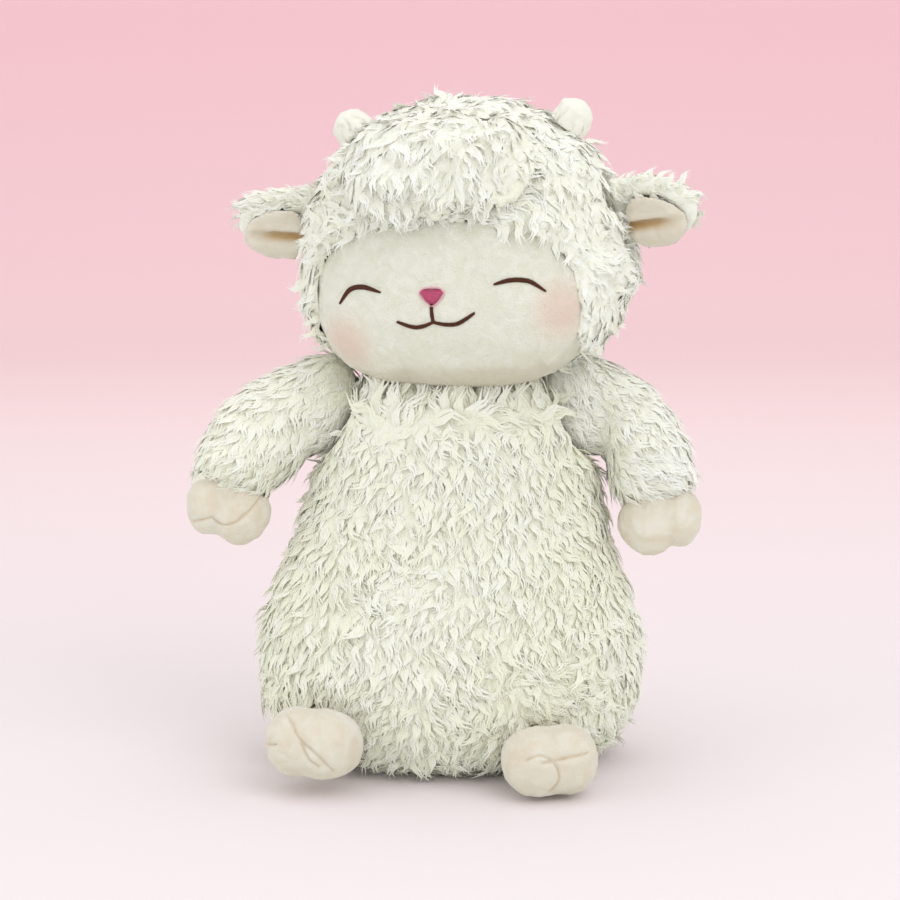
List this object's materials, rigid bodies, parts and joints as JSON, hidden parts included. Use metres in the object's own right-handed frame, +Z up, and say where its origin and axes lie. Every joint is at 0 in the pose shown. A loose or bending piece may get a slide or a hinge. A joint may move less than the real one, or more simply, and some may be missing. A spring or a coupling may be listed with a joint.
{
  "type": "plush toy",
  "caption": "Sitting plush lamb with a shaggy fleece body, hooded smooth face, folded ears, felt horns, short arms and feet that end in cloven hooves, and a flat seat.",
  "frame": {"origin": "middle of the flat seat, on the ground that the lamb sits on", "axes": "+Z up, -Y the way the face looks, +X to the right as a viewer in front sees the lamb"},
  "size_m": [0.293, 0.2087, 0.382],
  "materials": {
    "fleece": "curly long pile, matt with a soft sheen",
    "face_minky": "short dense pile with soft creases",
    "hoof_minky": "short brushed pile",
    "ear_lining": "smooth woven cloth",
    "horn_felt": "short felted pile",
    "seat_cloth": "curly pile, pressed flat",
    "filling": "loose polyester fibre",
    "pellets": "woven pouch filled with pellets",
    "thread_brown": "satin stitches, glossy along the thread",
    "thread_pink": "satin stitches, glossy along the thread"
  },
  "bodies": {
    "torso": {"body_front": "fleece", "body_back_left": "fleece", "body_back_right": "fleece", "seat_panel": "seat_cloth", "body_stuffing": "filling", "pellet_pouch": "pellets"},
    "neck": {"neck_band": "fleece", "neck_stuffing": "filling"},
    "head": {"hood_left": "fleece", "hood_right": "fleece", "head_stuffing": "filling", "face_panel": "face_minky", "nose": "thread_pink", "mouth": "thread_brown", "eye_left": "thread_brown", "eye_right": "thread_brown", "fringe": "fleece", "horn_left": "horn_felt", "horn_right": "horn_felt"},
    "ear_left": {"ear_left_back": "fleece", "ear_left_lining": "ear_lining"},
    "ear_right": {"ear_right_back": "fleece", "ear_right_lining": "ear_lining"},
    "arm_left": {"arm_left_sleeve": "fleece", "arm_left_hoof": "hoof_minky", "arm_left_stuffing": "filling"},
    "arm_right": {"arm_right_sleeve": "fleece", "arm_right_hoof": "hoof_minky", "arm_right_stuffing": "filling"},
    "foot_left": {"foot_left_hoof": "hoof_minky", "foot_left_stuffing": "filling"},
    "foot_right": {"foot_right_hoof": "hoof_minky", "foot_right_stuffing": "filling"},
    "tail": {"tail": "fleece"}
  },
  "joints": [
    {"name": "head_turn", "type": "hinge", "parent": "torso", "child": "neck", "pos_m": [0.005, 0, 0.215], "axis": [0, 0, 1], "range_deg": [-12, 12], "stiffness_Nm_per_rad": 2},
    {"name": "head_nod", "type": "hinge", "parent": "neck", "child": "head", "pos_m": [0.005, 0, 0.215], "axis": [1, 0, 0], "range_deg": [-8, 6], "stiffness_Nm_per_rad": 2.5},
    {"name": "ear_left_flap", "type": "hinge", "parent": "head", "child": "ear_left", "pos_m": [-0.07708, 0.0176, 0.30983], "axis": [-0.0797, -0.4055, 0.9106], "range_deg": [-15, 15], "stiffness_Nm_per_rad": 0.05},
    {"name": "ear_right_flap", "type": "hinge", "parent": "head", "child": "ear_right", "pos_m": [0.09495, -0.03343, 0.31885], "axis": [-0.2416, -0.3574, 0.9021], "range_deg": [-15, 15], "stiffness_Nm_per_rad": 0.05},
    {"name": "arm_left_swing", "type": "hinge", "parent": "torso", "child": "arm_left", "pos_m": [-0.07712, -0.00068, 0.201], "axis": [-1, 0, 0], "range_deg": [-10, 60], "stiffness_Nm_per_rad": 0.3},
    {"name": "arm_right_swing", "type": "hinge", "parent": "torso", "child": "arm_right", "pos_m": [0.07712, -0.00068, 0.201], "axis": [-1, 0, 0], "range_deg": [-10, 60], "stiffness_Nm_per_rad": 0.3},
    {"name": "foot_left_tip", "type": "hinge", "parent": "torso", "child": "foot_left", "pos_m": [-0.068, -0.05357, 0.0292], "axis": [-1, 0, 0], "range_deg": [0, 18], "stiffness_Nm_per_rad": 0.15},
    {"name": "foot_right_tip", "type": "hinge", "parent": "torso", "child": "foot_right", "pos_m": [0.048, -0.05929, 0.0212], "axis": [-1, 0, 0], "range_deg": [0, 18], "stiffness_Nm_per_rad": 0.15},
    {"name": "tail_wag", "type": "hinge", "parent": "torso", "child": "tail", "pos_m": [0, 0.06945, 0.046], "axis": [0, 0, 1], "range_deg": [-20, 20], "stiffness_Nm_per_rad": 0.05}
  ]
}
